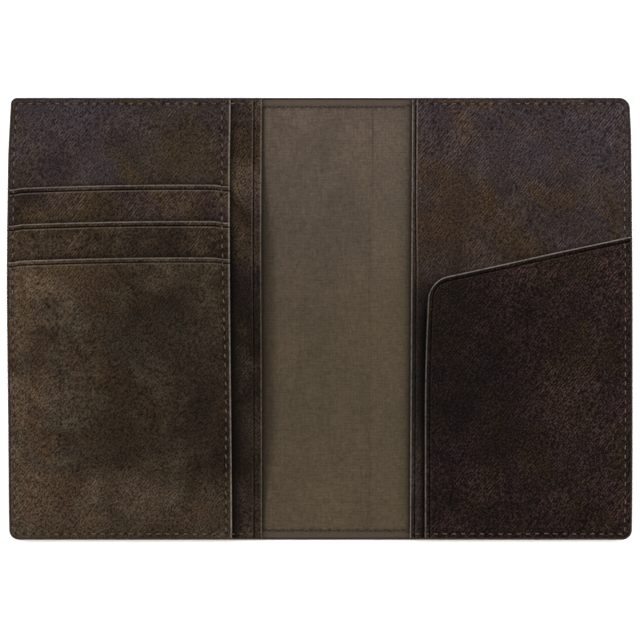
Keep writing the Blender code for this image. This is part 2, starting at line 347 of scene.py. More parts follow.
def mesh_from(name, points, faces, wear_and_highlight=None, crease=None):
    """A smooth mesh in metres that keeps its place at rest, where it is painted lighter as abrasion and
    painted highlight, and where it gets painted shade.
    """
    mesh = bpy.data.meshes.new(name)
    mesh.from_pydata((points * MM).tolist(), [], faces.tolist() if hasattr(faces, "tolist") else faces)
    rest = mesh.attributes.new("rest", "FLOAT_VECTOR", "POINT")
    rest.data.foreach_set("vector", points.astype(np.float32).ravel())
    for label, values in (("wear_and_highlight", wear_and_highlight), ("crease", crease)):
        if values is not None:
            mesh.attributes.new(label, "FLOAT", "POINT").data.foreach_set("value", values.astype(np.float32))
    mesh.shade_smooth()
    mesh.set_sharp_from_angle(angle=SHARP_ANGLE)
    mesh.validate()
    return mesh


def round_corners(x, y, xs, ys, radii):
    """Moves grid points so that the rectangle's corners become arcs."""
    x, y = x.copy(), y.copy()
    ends = ((xs[0], ys[0], 1, 1), (xs[-1], ys[0], -1, 1), (xs[-1], ys[-1], -1, -1), (xs[0], ys[-1], 1, -1))
    for (corner_x, corner_y, sx, sy), radius in zip(ends, radii):
        if radius <= 0:
            continue
        u = radius - (x - corner_x) * sx
        v = radius - (y - corner_y) * sy
        inside = (u > 0) & (v > 0)
        ring = np.maximum(u, v)[inside]
        angle = math.pi / 4 * (1 + (v - u)[inside] / np.maximum(ring, 1e-9))
        x[inside] = corner_x + sx * (radius - ring * np.cos(angle))
        y[inside] = corner_y + sy * (radius - ring * np.sin(angle))
    return x, y


class Sides:
    """Distances of every grid point from the four sides of its panel."""

    def __init__(self, x, y, xs, ys):
        self.left = x - xs[0]
        self.right = xs[-1] - x
        self.bottom = y - ys[0]
        self.top = ys[-1] - y


def panel(name, xs, ys, bottom, thickness, finish, radii=(0, 0, 0, 0), noses=(0.15,) * 4, place=None,
          free=None, groove=CARD_GROOVE, shine=None, relief=None, wear_and_highlight=None, painted_shade=None):
    """A closed thin sheet on a grid.

    bottom(x, y) is its underside. noses are the widths over which the left, right, bottom and top edges are
    rounded, None for a plain cut. free(sides) is the distance from the turned edges, which get a lip with a
    groove behind it, painted lighter as shine(x, y, sides) says, partly as real abrasion and partly as
    painted highlight, and given painted shade in the groove. The seam's channel and needle holes get painted
    shade too.
    relief and the two functions after it, each taking (x, y, sides), add to the height, to the places painted
    lighter and to the painted shade."""
    flat_x, flat_y = np.meshgrid(xs, ys, indexing="ij")
    sides = Sides(flat_x, flat_y, xs, ys)
    x, y = round_corners(flat_x, flat_y, xs, ys, radii)
    if place:
        x, y = place(x, y)
    low = bottom(x, y)
    high = low + thickness
    worn_and_lit = np.zeros_like(x)
    # Painted shade in the seam's channel and needle holes.
    dark = 0.75 * seam_pull(x, y, 0.36)
    if free:
        lift, worn_and_lit, crease = lip(free(sides), groove, shine(x, y, sides) if shine else (0.52, 0.33))
        high = high + lift
        dark = np.maximum(dark, crease)
    if relief:
        high = high + relief(x, y, sides)
    if wear_and_highlight:
        worn_and_lit = np.maximum(worn_and_lit, wear_and_highlight(x, y, sides))
    if painted_shade:
        dark = np.maximum(dark, painted_shade(x, y, sides) * (1 - 0.6 * np.clip(worn_and_lit, 0, 1)))
    nearest = np.full_like(x, 9.0)
    for distance, width in zip((sides.left, sides.right, sides.bottom, sides.top), noses):
        if width:
            nearest = np.minimum(nearest, distance / width)
    fullness = np.maximum(np.sqrt(1 - (1 - np.clip(nearest, 0, 1)) ** 2), 0.2)
    middle, half = (high + low) / 2, (high - low) / 2
    x, y = natural(x, y)
    top_points = np.stack([x, y, middle + half * fullness], -1).reshape(-1, 3)
    low_points = np.stack([x, y, middle - half * fullness], -1).reshape(-1, 3)
    nx, ny = len(xs), len(ys)
    index = np.arange(nx * ny).reshape(nx, ny)
    quads = np.stack([index[:-1, :-1], index[1:, :-1], index[1:, 1:], index[:-1, 1:]], -1).reshape(-1, 4)
    under = quads[:, ::-1] + nx * ny
    ring = np.concatenate([index[:, 0], index[-1, 1:], index[-2::-1, -1], index[0, -2:0:-1]])
    following = np.roll(ring, -1)
    walls = np.stack([ring, ring + nx * ny, following + nx * ny, following], -1)
    points = np.concatenate([top_points, low_points])
    faces = np.concatenate([quads, under, walls])
    twice = [np.concatenate([values.ravel(), values.ravel()]) for values in (worn_and_lit, dark)]
    mesh = mesh_from(name, points, faces, *twice)
    return link(name, mesh, finish)


# --- Materials ----------------------------------------------------------------


def linear(red, green, blue):
    """A shader colour from sRGB values of 0 to 255."""
    values = [v / 255 for v in (red, green, blue)]
    return tuple(v / 12.92 if v < 0.04045 else ((v + 0.055) / 1.055) ** 2.4 for v in values) + (1.0,)


class Nodes:
    """Short calls for building one material."""

    def __init__(self, name, roughness, specular=0.5):
        self.material = bpy.data.materials.new(name)
        self.material.use_nodes = True
        self.tree = self.material.node_tree
        self.shader = self.tree.nodes["Principled BSDF"]
        self.shader.inputs["Roughness"].default_value = roughness
        self.shader.inputs["Specular IOR Level"].default_value = specular

    def new(self, kind, **values):
        """A node, whose sockets and properties are set by name."""
        node = self.tree.nodes.new(kind)
        for key, value in values.items():
            socket = next((s for s in node.inputs if s.name.replace(" ", "_") == key and s.enabled), None)
            if socket is None:
                setattr(node, key, value)
            else:
                self.feed(socket, value)
        return node

    def feed(self, socket, value):
        """Links an output to the socket, or sets the socket to a plain value. None leaves it alone."""
        if hasattr(value, "is_output"):
            self.tree.links.new(value, socket)
        elif value is not None:
            socket.default_value = value

    def attribute(self, name, output):
        return self.new("ShaderNodeAttribute", attribute_name=name).outputs[output]

    def noise(self, vector, scale, detail=2.0, roughness=0.5, distortion=0.0):
        return self.new("ShaderNodeTexNoise", Vector=vector, Scale=scale, Detail=detail, Roughness=roughness,
                        Distortion=distortion).outputs["Fac"]

    def math(self, operation, first, second=None, third=None):
        node = self.new("ShaderNodeMath", operation=operation)
        for socket, value in zip(node.inputs, (first, second, third)):
            self.feed(socket, value)
        return node.outputs[0]

    def vector(self, operation, first, second=None, scale=None, output="Vector"):
        node = self.new("ShaderNodeVectorMath", operation=operation)
        for socket, value in zip(node.inputs, (first, second, None, scale)):
            self.feed(socket, value)
        return node.outputs[output]

    def ramp(self, factor, *stops):
        """A colour ramp of (position, colour) stops."""
        node = self.new("ShaderNodeValToRGB", Fac=factor)
        elements = node.color_ramp.elements
        elements[0].position, elements[0].color = stops[0]
        elements[1].position, elements[1].color = stops[-1]
        for position, color in stops[1:-1]:
            elements.new(position).color = color
        return node.outputs["Color"]

    def range(self, value, low, high, new_low, new_high):
        node = self.new("ShaderNodeMapRange", Value=value)
        for socket, number in zip(node.inputs[1:5], (low, high, new_low, new_high)):
            socket.default_value = number
        return node.outputs[0]

    def mix(self, factor, first, second):
        node = self.new("ShaderNodeMix", data_type="RGBA")
        for socket, value in ((node.inputs[0], factor), (node.inputs[6], first), (node.inputs[7], second)):
            self.feed(socket, value)
        return node.outputs[2]

    def stretched(self, vector, turn, scale):
        """The vector turned about Z and then scaled along its own axes."""
        turned = self.new("ShaderNodeVectorRotate", rotation_type="Z_AXIS", Vector=vector, Angle=turn)
        return self.vector("MULTIPLY", turned.outputs[0], scale)

    def patch(self, vector, x, y, radius):
        """1 at the middle of a round patch, falling to 0 at its radius."""
        away = self.vector("DISTANCE", vector, (x, y, 0.0), output="Value")
        return self.range(away, 0.15 * radius, radius, 1.0, 0.0)

    def finish(self, color, height, distance, roughness=None):
        self.tree.links.new(color, self.shader.inputs["Base Color"])
        bump = self.new("ShaderNodeBump", Height=height, Distance=distance, Strength=1.0)
        self.tree.links.new(bump.outputs[0], self.shader.inputs["Normal"])
        if roughness is not None:
            self.tree.links.new(roughness, self.shader.inputs["Roughness"])
        return self.material


TWILL_TURN = math.radians(-52)


def leather(name, tones, warm, cool, twill=1.0, seed=0.0, contrast=1.0, worn_and_lit=(122, 112, 104), warm_at=None,
            cool_at=None):
    """Mottled leather with a fine pressed diagonal grain, painted lighter along its lips, partly as real
    abrasion and partly as painted highlight, and darkened where its crease attribute holds painted shade.

    tones are four colours that the mottling runs through, from dark to light. warm and cool tint scattered
    patches, and one large patch each at warm_at and cool_at, given as (x, y, radius) in millimetres. The
    colour given after contrast is that of the places painted lighter along the lips."""
    n = Nodes(name, 0.5, 0.03)
    rest = n.attribute("rest", "Vector")
    place = n.vector("ADD", rest, (seed * 37.0, seed * 91.0, 0.0))
    wear_and_highlight, crease = n.attribute("wear_and_highlight", "Fac"), n.attribute("crease", "Fac")
    clouds = n.noise(place, 0.055, 4.0, 0.62, 0.5)
    stops = [(i / 3, linear(*tone)) for i, tone in enumerate(tones)]
    color = n.ramp(n.range(clouds, 0.36, 0.64, 0.0, 1.0), *stops)
    patches = n.noise(n.stretched(place, 0.9, (0.050, 0.085, 1.0)), 1.0, 3.0, 0.55, 0.6)
    color = n.mix(n.range(patches, 0.48, 0.64, 0.0, 0.9), color, linear(*warm))
    patches = n.noise(n.stretched(place, -0.7, (0.075, 0.045, 1.0)), 1.0, 3.0, 0.55, 0.6)
    color = n.mix(n.range(patches, 0.46, 0.68, 0.0, 0.6), color, linear(*cool))
    for patch, tint in ((warm_at, warm), (cool_at, cool)):
        if patch:
            ragged = n.range(patches, 0.34, 0.60, 0.35, 0.85)
            color = n.mix(n.math("MULTIPLY", n.patch(rest, *patch), ragged), color, linear(*tint))
    wave = n.new("ShaderNodeTexWave", Vector=n.stretched(place, TWILL_TURN, (0.34, 1.0, 0.3)), Scale=0.38,
                 Distortion=1.8, Detail=1.0, Detail_Scale=1.2, wave_type="BANDS", bands_direction="Y")
    lines = n.range(wave.outputs["Fac"], 0.35, 0.80, 0.0, 1.0)
    gaps = n.noise(n.stretched(place, TWILL_TURN, (0.62, 1.6, 1.0)), 1.0, 1.0)
    broken = n.range(gaps, 0.42, 0.58, 0.0, 1.0)
    areas = n.range(n.noise(place, 0.10, 2.0), 0.42, 0.56, 0.30, 1.0)
    ribs = n.math("MULTIPLY", n.math("MULTIPLY", lines, broken), n.math("MULTIPLY", areas, 0.80 * twill))
    pebbles = n.noise(n.stretched(place, TWILL_TURN, (1.35, 1.9, 1.6)), 1.0, 3.0, 0.75)
    grain = n.math("ADD", ribs, n.math("MULTIPLY", n.range(pebbles, 0.36, 0.66, 0.0, 1.0), 1.1))
    # The grain is painted into the colour as well as the bump: partly the leather's own tone, partly painted
    # sheen and shading of its relief.
    shade = n.math("MULTIPLY_ADD", grain, 1.75 * contrast, 1.0 - contrast * (1.12 + 0.25 * twill))
    shade = n.math("MAXIMUM", shade, 0.15)
    shaded = n.vector("SCALE", color, scale=shade)
    # Painted highlight along the lips, partly real abrasion, broken up by noise.
    uneven_wear_and_highlight = n.range(n.noise(place, 0.8, 2.0), 0.30, 0.62, 0.45, 0.9)
    color = n.mix(n.math("MULTIPLY", wear_and_highlight, uneven_wear_and_highlight), shaded, linear(*worn_and_lit))
    # Painted shade: the crease attribute darkens grooves, needle holes and painted shadows towards
    # near-black.
    color = n.mix(crease, color, linear(3, 2, 1))
    roughness = n.range(clouds, 0.3, 0.7, 0.44, 0.58)
    return n.finish(color, grain, 0.00010, roughness)


def cloth(name, tone, shade_tone, lower_tint, hem_tone):
    """Plain-weave cloth with uneven threads, tinted olive and darker towards the bottom. The pressed hem
    takes its own tone where the mesh marks it, and the crease attribute darkens the cloth with painted shade.
    """
    n = Nodes(name, 0.85, 0.12)
    rest = n.attribute("rest", "Vector")
    waves = []
    for direction, scale in (("X", 0.74), ("Y", 0.66)):
        wave = n.new("ShaderNodeTexWave", Vector=rest, Scale=scale, Distortion=1.2, Detail=1.0,
                     Detail_Scale=0.5, wave_type="BANDS", bands_direction=direction)
        waves.append(wave.outputs["Fac"])
    weave = n.math("MULTIPLY", waves[0], waves[1])
    warp = n.range(n.noise(n.stretched(rest, 0.0, (2.0, 0.45, 1.0)), 1.0, 2.0, 0.6), 0.3, 0.7, -0.5, 0.5)
    weft = n.range(n.noise(n.stretched(rest, 0.0, (0.45, 2.0, 1.0)), 1.0, 2.0, 0.6), 0.3, 0.7, -0.5, 0.5)
    fuzz = n.range(n.noise(rest, 1.7, 2.0, 0.7), 0.3, 0.7, -0.5, 0.5)
    clouds = n.noise(n.stretched(rest, 0.0, (0.045, 0.022, 1.0)), 1.0, 3.0, 0.6)
    color = n.mix(n.range(clouds, 0.35, 0.65, 0.0, 1.0), linear(*shade_tone), linear(*tone))
    height_up = n.new("ShaderNodeSeparateXYZ", Vector=rest).outputs["Y"]
    color = n.mix(n.range(height_up, -5.0, 62.0, 0.35, 0.0), color, linear(*lower_tint))
    height = n.math("ADD", weave, n.math("MULTIPLY", n.math("ADD", n.math("ADD", warp, weft), fuzz), 0.7))
    shade = n.math("ADD", n.math("MULTIPLY", height, 0.46), 0.84)
    shaded = n.vector("SCALE", color, scale=shade)
    color = n.mix(n.math("MULTIPLY", n.attribute("wear_and_highlight", "Fac"), 0.8), shaded, linear(*hem_tone))
    # Painted shade: the crease attribute darkens the cloth, mostly with painted shadow beside the flaps,
    # along its faint crease and at the seam.
    color = n.mix(n.attribute("crease", "Fac"), color, linear(18, 13, 6))
    return n.finish(color, height, 0.00008)


def thread_finish():
    """Twisted thread, tan on leather, and dark on the stitches that the mesh marks as lying on the lining."""
    n = Nodes("thread", 0.75, 0.15)
    rest = n.attribute("rest", "Vector")
    fibres = n.noise(rest, 5.0, 2.0, 0.6)
    tan = n.mix(n.range(fibres, 0.35, 0.65, 0.0, 1.0), linear(54, 44, 37), linear(92, 78, 68))
    faded = n.range(n.noise(rest, 0.28, 2.0, 0.6), 0.42, 0.62, 0.0, 0.8)
    tan = n.mix(faded, tan, linear(52, 42, 36))
    color = n.mix(n.attribute("wear_and_highlight", "Fac"), tan, linear(28, 14, 12))
    return n.finish(color, fibres, 0.00004)


def board_finish():
    """Pressed grey paperboard with short fibres, on a CAD board, which has no rest attribute."""
    n = Nodes("paperboard", 0.9, 0.2)
    place = n.new("ShaderNodeTexCoord").outputs["Object"]
    fibres = n.noise(place, 2600, 3.0, 0.65)
    color = n.mix(n.range(fibres, 0.35, 0.65, 0.0, 1.0), linear(120, 113, 100), linear(156, 150, 138))
    return n.finish(color, fibres, 0.00004)


# --- Panels -------------------------------------------------------------------


INNER_X = HALF_WIDTH - PANEL_INSET
INNER_Y = HALF_HEIGHT - PANEL_INSET
WHOLE_HEIGHT = grid_lines(spaced(-INNER_Y, INNER_Y, FINE), HEM - INNER_Y, INNER_Y - HEM)


def corner_radii(side):
    corners = CORNERS_LEFT if side < 0 else CORNERS_RIGHT
    return tuple(max(r - PANEL_INSET, 0) for r in corners)


def across(side, inner, fine_to, *dense, coarse=COARSE):
    """Grid lines across a cover from inner to its outer edge, fine up to fine_to and coarse beyond."""
    outer = side * INNER_X
    hem = outer - side * HEM
    parts = [spaced(inner, fine_to, FINE), hem, *dense]
    if abs(outer - fine_to) > 1:
        parts.append(spaced(fine_to, outer, coarse))
    return grid_lines(*parts)


def outer_underside(x, y):
    """The seam lies in a shallow channel on the outside of the cover."""
    return 0.42 * seam_pull(x, y, 0.55, holes=False)


def build_outer(side, finish):
    name = SIDE_NAMES[side]
    fold_lines = side * spaced(0, 2 * FOLD_X, 0.5)
    xs = across(side, 0.0, side * 9.0, fold_lines, coarse=FINE)
    noses = (None, 0.3, 0.3, 0.3) if side > 0 else (0.3, None, 0.3, 0.3)

    def relief(x, y, sides):
        return -outer_underside(x, y)

    made = panel(f"outer_leather_{name}", xs, WHOLE_HEIGHT, outer_underside, COVER - 0.05, finish,
                 corner_radii(side), noses, relief=relief)
    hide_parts(f"outer_cover_{name}", "outer_cover_spine")
    return made


def build_lining(side, finish):
    name = SIDE_NAMES[side]
    flap_edge = LEFT_FLAP_EDGE if side < 0 else RIGHT_FLAP_EDGE
    board = side * (BOARD_EDGE + np.linspace(-1.6, 1.0, 9))
    crease = side * (LINING_CREASE + np.linspace(-1.2, 1.2, 13))
    xs = across(side, 0.0, flap_edge + side * 2, side * spaced(0, 2 * FOLD_X, 0.5), board, crease)
    noses = (None, 0.1, 0.1, 0.1) if side > 0 else (0.1, None, 0.1, 0.1)

    def relief(x, y, sides):
        """The cloth waves a little, and a faint upright crease rises in its right half."""
        return 0.03 * wobble(x, y, 9, 31) + 0.06 * bell(x, LINING_CREASE, 0.4)

    def hem(x, y, sides):
        return smooth(seam_margin(x) - np.minimum(sides.top, sides.bottom) - PANEL_INSET, -0.25, 0.25)

    pitch = seam_layout(side)[2]

    def lining_painted_shadow(x, y, sides):
        """Painted shadow on the cloth beside the flaps, widest mid-way up the left one, painted shade along
        the faint crease and in the seam's needle holes, a slightly darker cloth everywhere left of the crease
        and a darker bottom hem.
        """
        beside = np.maximum(x - left_flap_edge(y), 0)
        beside_right = np.maximum(right_flap_edge(y) - x, 0)
        middle = smooth(-y, -55, -18) * smooth(y, -66, -32)
        reach = 1.0 + 3.5 * middle
        near = 0.88 * np.exp(-beside / (0.3 + 0.4 * reach))
        left = layered(near, 0.45 * (1 - smooth(beside / reach, 0.5, 1.25)))
        right = 0.99 * np.exp(-beside_right / (0.8 + 0.35 * middle))
        crease = 0.35 * bell(x, LINING_CREASE, 0.3) * smooth(y, 30, 60)
        inner = 0.05 * (1 - smooth(x, LINING_CREASE - 0.8, LINING_CREASE + 0.3))
        seam_line = bell(HALF_HEIGHT - np.abs(y), seam_margin(x), 0.7)
        holes = seam_line * (0.45 + 0.40 * np.cos(2 * math.pi * x / pitch))
        return layered(left, right, crease, inner, holes, 0.24 * hem(x, y, sides) * (y < 0))

    made = panel(f"lining_cloth_{name}", xs, WHOLE_HEIGHT, lambda x, y: lining_top(x, y) - LINING, LINING,
                 finish, corner_radii(side), noses, relief=relief, wear_and_highlight=hem,
                 painted_shade=lining_painted_shadow)
    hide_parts(f"lining_{name}", "lining_spine")
    return made


def layered(*painted_shades):
    """Several painted shades over one another."""
    clean = 1.0
    for painted_shade in painted_shades:
        clean = clean * (1 - painted_shade)
    return 1 - clean


def fold_painted_shade(x, y):
    """Painted shade: the leather is darker towards the fold, except near its top and bottom, and the right
    half also darker below its top.
    """
    left = 0.63 * smooth(x, -94, -60) * smooth(-y, -38, -5) * (1 - 0.45 * smooth(-y, 40, 62))
    right = 0.62 * smooth(-x, -98, -40) * smooth(-y, -26, 5) * (1 - 0.50 * smooth(-y, 28, 54))
    return np.where(x < 0, left, layered(right, 0.30 * smooth(-y, -60, -34)))


def flap_painted_shadow(x, y, sides):
    """Painted shadow beside the card panel, which also darkens the rest of the left flap a little, and beside
    the slanted pocket, over the painted shade towards the fold.
    """
    beside = np.maximum(x - card_edge(y), 0)
    width = 1.5 + 1.25 * smooth(-y, -50, 45)
    card = layered((0.75 + 0.23 * smooth(-y, -45, -5)) * np.exp(-((beside / width) ** 2)), 0.22)
    beside = np.maximum(slant_left(y) - x, 0)
    width = 2.0 - 0.75 * smooth(-y, 5, 45)
    pocket = smooth(-y, -13, 1) * 0.99 * np.exp(-((beside / width) ** 3))
    return layered(np.where(x < 0, card, pocket), fold_painted_shade(x, y))


def build_hidden_cloth(name, node, underside, finish, radii=(0, 0, 0, 0)):
    """A rectangle of cloth that lies out of sight, as large as its CAD node."""
    low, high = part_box(node)
    xs, ys = spaced(low.x / MM, high.x / MM, HIDDEN), spaced(low.y / MM, high.y / MM, HIDDEN)
    made = panel(name, xs, ys, underside, HIDDEN_CLOTH, finish, radii, (0.1,) * 4)
    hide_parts(node)
    return made


def build_flap(side, finish, cloth_finish):
    name = SIDE_NAMES[side]
    edge = LEFT_FLAP_EDGE if side < 0 else RIGHT_FLAP_EDGE
    groove = LEFT_FLAP_GROOVE if side < 0 else RIGHT_FLAP_GROOVE
    visible_to = CARD_EDGE - 3 if side < 0 else side * INNER_X
    xs = across(side, edge, visible_to, edge + side * lip_lines(groove))
    noses = (0.22, 0.15, 0.15, 0.15) if side > 0 else (0.15, 0.22, 0.15, 0.15)

    def place(x, y):
        stray = (left_flap_edge if side < 0 else right_flap_edge)(y) - edge
        return x + stray * (1 - smooth(side * (x - edge), 3, 12)), y

    def free(sides):
        if side < 0:
            return sides.right
        return sides.left + 0.30 * smooth(sides.bottom, 85, 110) * smooth(sides.left, 0.5, 1.0)

    # Painted highlight on the lip's edge and its ridge, partly real abrasion; on the right flap the ridge's
    # highlight grows towards the top.
    def shine(x, y, sides):
        top = smooth(y, -10, 45)
        return (0.48, 0.10 + 0.20 * top) if side < 0 else (0.80 - 0.22 * top, 0.12 + 0.50 * top)

    def relief(x, y, sides):
        return 0.05 * wobble(x, y, 14, 5 + side)

    # A painted highlight line on the left flap's lip, between its edge and its groove.
    def inner_highlight_line(x, y, sides):
        return 0.30 * bell(free(sides), 1.75, 0.15) if side < 0 else 0 * x

    made = panel(f"passport_flap_leather_{name}", xs, WHOLE_HEIGHT, flap_bottom, FLAP, finish,
                 corner_radii(side), noses, place=place, free=free, groove=groove,
                 shine=shine, relief=relief, wear_and_highlight=inner_highlight_line, painted_shade=flap_painted_shadow)
    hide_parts(f"passport_flap_{name}")
    backing = build_hidden_cloth(f"passport_flap_backing_cloth_{name}", f"passport_flap_backing_{name}",
                                 lambda x, y: lining_top(x, y) + 0.05, cloth_finish,
                                 corner_radii(side))
    return [made, backing]


def stray_card(x, y):
    """Follows the card panel's right edge."""
    return x + (card_edge(y) - CARD_EDGE) * smooth(x, -60, CARD_EDGE - 4), y


def drop_mouth(foot, top):
    """Bows a card layer's mouth. The bow fades out towards the layer's foot."""
    def place(x, y):
        return stray_card(x, y - mouth_drop(x) * smooth(y, foot, top - 3.5))
    return place


def card_painted_shade(above):
    """Painted shade in the needle holes of the card panel's seam, and a painted shadow just above the mouth
    of the slot in front, whose peak is at above; over the painted shade towards the fold.
    """
    def painted_shade(x, y, sides):
        height = math.inf if above is None else np.maximum(y - (above - mouth_drop(x)), 0)
        marks = np.maximum(0.75 * card_seam_pull(x, y, 0.36), 0.6 * np.exp(-height / 0.8))
        return layered(marks, fold_painted_shade(x, y))
    return painted_shade


def card_lines():
    return grid_lines(spaced(-INNER_X, CARD_EDGE, FINE), HEM - INNER_X, CARD_EDGE - FREE)


def build_card_panel(finishes, cloth_finish):
    made = []
    back_fine = MOUTHS[0] - 4
    ys = grid_lines(spaced(-INNER_Y, back_fine, COARSE), spaced(back_fine, INNER_Y, FINE), INNER_Y - HEM,
                    HEM - INNER_Y)

    def relief(x, y, sides):
        return 0.05 * wobble(x, y, 14, 7) - 0.08 * card_seam_pull(x, y)

    # Painted highlight along the card layers' right edge, partly real abrasion.
    def cut_edge_highlight(x, y, sides):
        return (0.85 - 0.2 * smooth(y, 20, 50)) * np.exp(-(np.abs(sides.right - 0.20) / 0.29) ** 4)

    back = panel("card_panel_back_leather", card_lines(), ys, lambda x, y: card_back_top(x, y) - CARD, CARD,
                 finishes["back"], corner_radii(-1), (0.15, 0.45, 0.15, 0.15),
                 place=stray_card, relief=relief, wear_and_highlight=cut_edge_highlight, painted_shade=card_painted_shade(MOUTHS[0]))
    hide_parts("card_panel_back")
    made.append(back)
    for level, (name, mouth) in enumerate(zip(("top", "middle", "front"), MOUTHS), 1):
        front = level == 3
        foot = -INNER_Y if front else STRIP_FEET[level - 1]
        above = None if front else MOUTHS[level]
        bottom_lines = HEM - INNER_Y if front else np.array([foot, foot + 0.2])
        ys = grid_lines(spaced(foot, mouth, FINE), mouth - lip_lines(CARD_GROOVE), bottom_lines)
        radii = (corner_radii(-1)[0] if front else 0, 0, 0, 0)

        def bottom(x, y, level=level):
            return card_level(x, y, level)

        def relief(x, y, sides, level=level):
            return 0.06 * wobble(x, y, 12, 11 + level) - 0.08 * card_seam_pull(x, y)

        slot = panel(f"card_slot_leather_{name}", card_lines(), ys, bottom, CARD, finishes[name],
                     radii, (0.15, 0.45, 0.15, 0.22), place=drop_mouth(foot, mouth),
                     free=lambda sides: sides.top, relief=relief, wear_and_highlight=cut_edge_highlight, painted_shade=card_painted_shade(above))
        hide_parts(f"card_slot_{name}")
        made.append(slot)
    for level, name in enumerate(("top", "middle"), 1):
        made.append(build_hidden_cloth(f"card_slot_tail_cloth_{name}", f"card_slot_{name}_tail",
                                       lambda x, y, level=level: card_level(x, y, level) + 0.02,
                                       cloth_finish))
    return made


CARD_SEAM_REACH = HALF_HEIGHT - SEAM
CARD_PITCH = 2 * CARD_SEAM_REACH / round(2 * CARD_SEAM_REACH / 2.9)


def card_seam_pull(x, y, width=0.42):
    """0 to 1, how strongly the card panel's own upright seam draws it in."""
    holes = 0.55 + 0.45 * np.cos(2 * math.pi * (y + CARD_SEAM_REACH) / CARD_PITCH)
    return np.exp(-(((x - card_seam(y)) / width) ** 2)) * holes


def place_slant(x, y):
    """Shears the slanted pocket's top edge down towards its corner, and leans its left edge."""
    rising = np.clip((y + INNER_Y) / (SLANT_END - 22 + INNER_Y), 0, 1)
    y = y - (HALF_WIDTH - x) * SLANT * rising
    return x + (slant_left(y) - SLANT_LEFT) * np.clip(1 - (x - SLANT_LEFT) / 40, 0, 1), y


def build_slanted_pocket(finish):
    lip_at = lip_lines(SLANT_GROOVE)
    xs = grid_lines(spaced(SLANT_LEFT, INNER_X, FINE), SLANT_LEFT + lip_at, INNER_X - HEM)
    ys = grid_lines(spaced(-INNER_Y, SLANT_END, FINE), HEM - INNER_Y, SLANT_END - lip_at)
    radii = (0, CORNERS_RIGHT[1] - PANEL_INSET, 0, SLANT_CORNER)

    def relief(x, y, sides):
        return 0.07 * wobble(x, y, 16, 23)

    # Painted highlight on the mouth's edge, partly real abrasion, stronger along the slanted top than along
    # the left side.
    def shine(x, y, sides):
        return 0.70 + 0.22 * smooth(sides.left - sides.top, -2, 2), 0.08

    # Painted shade on the slanted mouth's lip band, which tilts away from the light, over the painted shade
    # towards the fold.
    def lip_painted_shade(x, y, sides):
        lip_band = smooth(sides.top, 0.40, 0.65) * (1 - smooth(sides.top, 1.75, 2.0))
        return layered(0.50 * lip_band * smooth(sides.left - sides.top, -2, 2), fold_painted_shade(x, y))

    made = panel("slanted_pocket_leather", xs, ys, slant_bottom, FLAP, finish, radii,
                 (0.22, 0.15, 0.15, 0.22), place=place_slant,
                 free=lambda sides: np.minimum(sides.left, sides.top), groove=SLANT_GROOVE, shine=shine,
                 relief=relief, painted_shade=lip_painted_shade)
    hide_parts("slanted_pocket")
    return made


# --- Things that follow the finished surface ----------------------------------


class Surface:
    """Finds the highest surface of several pieces at a place, in millimetres."""

    def __init__(self, pieces):
        self.trees = []
        for piece in pieces:
            points = [v.co[:] for v in piece.data.vertices]
            faces = [p.vertices[:] for p in piece.data.polygons]
            self.trees.append(BVHTree.FromPolygons(points, faces))

    def top(self, x, y):
        hits = [tree.ray_cast(Vector((x * MM, y * MM, 0.05)), Vector((0, 0, -1)))[0] for tree in self.trees]
        heights = [hit.z / MM for hit in hits if hit]
        return max(heights) if heights else 0.0


def outline_path(side, inset, step):
    """Points and outward directions round one cover's outer edges, from x = 0 at the bottom to the top."""
    corners = CORNERS_LEFT if side < 0 else CORNERS_RIGHT
    lower, upper = (corners[0], corners[3]) if side < 0 else (corners[1], corners[2])
    x, y = HALF_WIDTH - inset, HALF_HEIGHT - inset
    points, outward = [], []
    for value in spaced(0, HALF_WIDTH - lower, step)[:-1]:
        points.append((value, -y))
        outward.append((0, -1))
    for radius, start, sign in ((lower, -90, -1), (upper, 0, 1)):
        if sign > 0:
            for value in spaced(-(HALF_HEIGHT - lower), HALF_HEIGHT - upper, step)[1:-1]:
                points.append((x, value))
                outward.append((1, 0))
        for angle in np.radians(np.linspace(start, start + 90, 9)):
            c, s = math.cos(angle), math.sin(angle)
            arc = radius - inset
            points.append((HALF_WIDTH - radius + arc * c, sign * (HALF_HEIGHT - radius) + arc * s))
            outward.append((c, s))
    for value in spaced(HALF_WIDTH - upper, 0, step)[1:]:
        points.append((value, y))
        outward.append((0, 1))
    mirror = (side, 1)
    return np.array(points) * mirror, np.array(outward, float) * mirror


